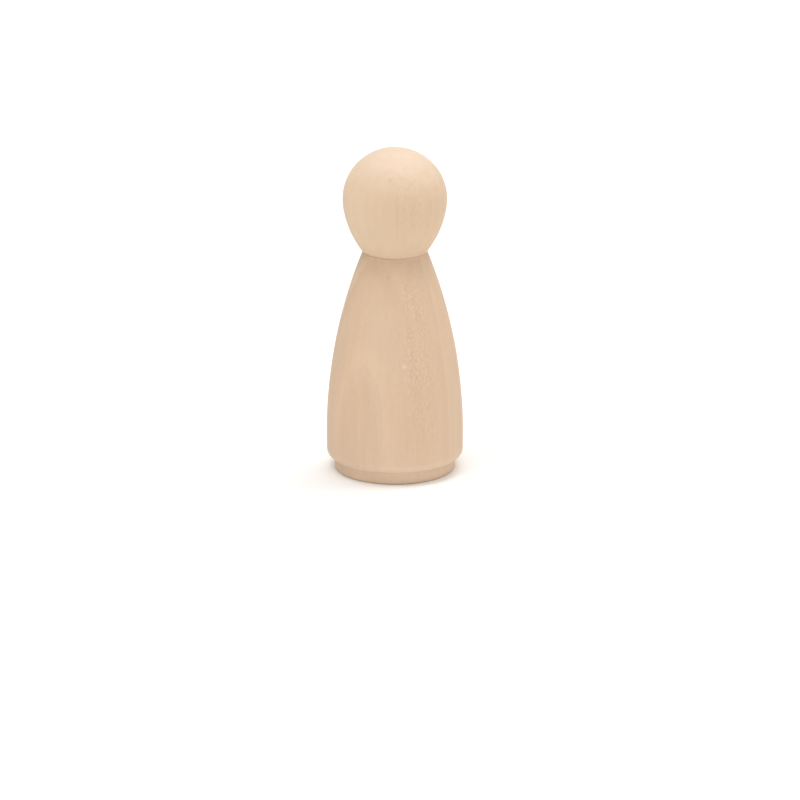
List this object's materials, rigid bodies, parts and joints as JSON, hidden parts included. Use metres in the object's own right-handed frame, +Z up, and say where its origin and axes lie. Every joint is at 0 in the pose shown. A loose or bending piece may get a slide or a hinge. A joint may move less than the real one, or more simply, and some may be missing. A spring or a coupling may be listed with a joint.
{
  "type": "wooden peg doll",
  "caption": "Small unpainted turned wooden peg doll with a ball head, a bell-shaped body with a rounded hem and a low round foot to stand on.",
  "frame": {"origin": "middle of the foot's flat underside, where the doll stands", "axes": "+Z up along the turning axis, from the foot to the crown of the head; the doll is the same all round, and -Y is the side that the picture shows"},
  "size_m": [0.0146, 0.0146, 0.035],
  "materials": {
    "head_wood": "matte",
    "body_wood": "matte",
    "foot_wood": "matte",
    "dowel_wood": "matte"
  },
  "bodies": {
    "root": {"head": "head_wood", "body": "body_wood", "foot": "foot_wood", "neck_dowel": "dowel_wood"}
  },
  "joints": []
}
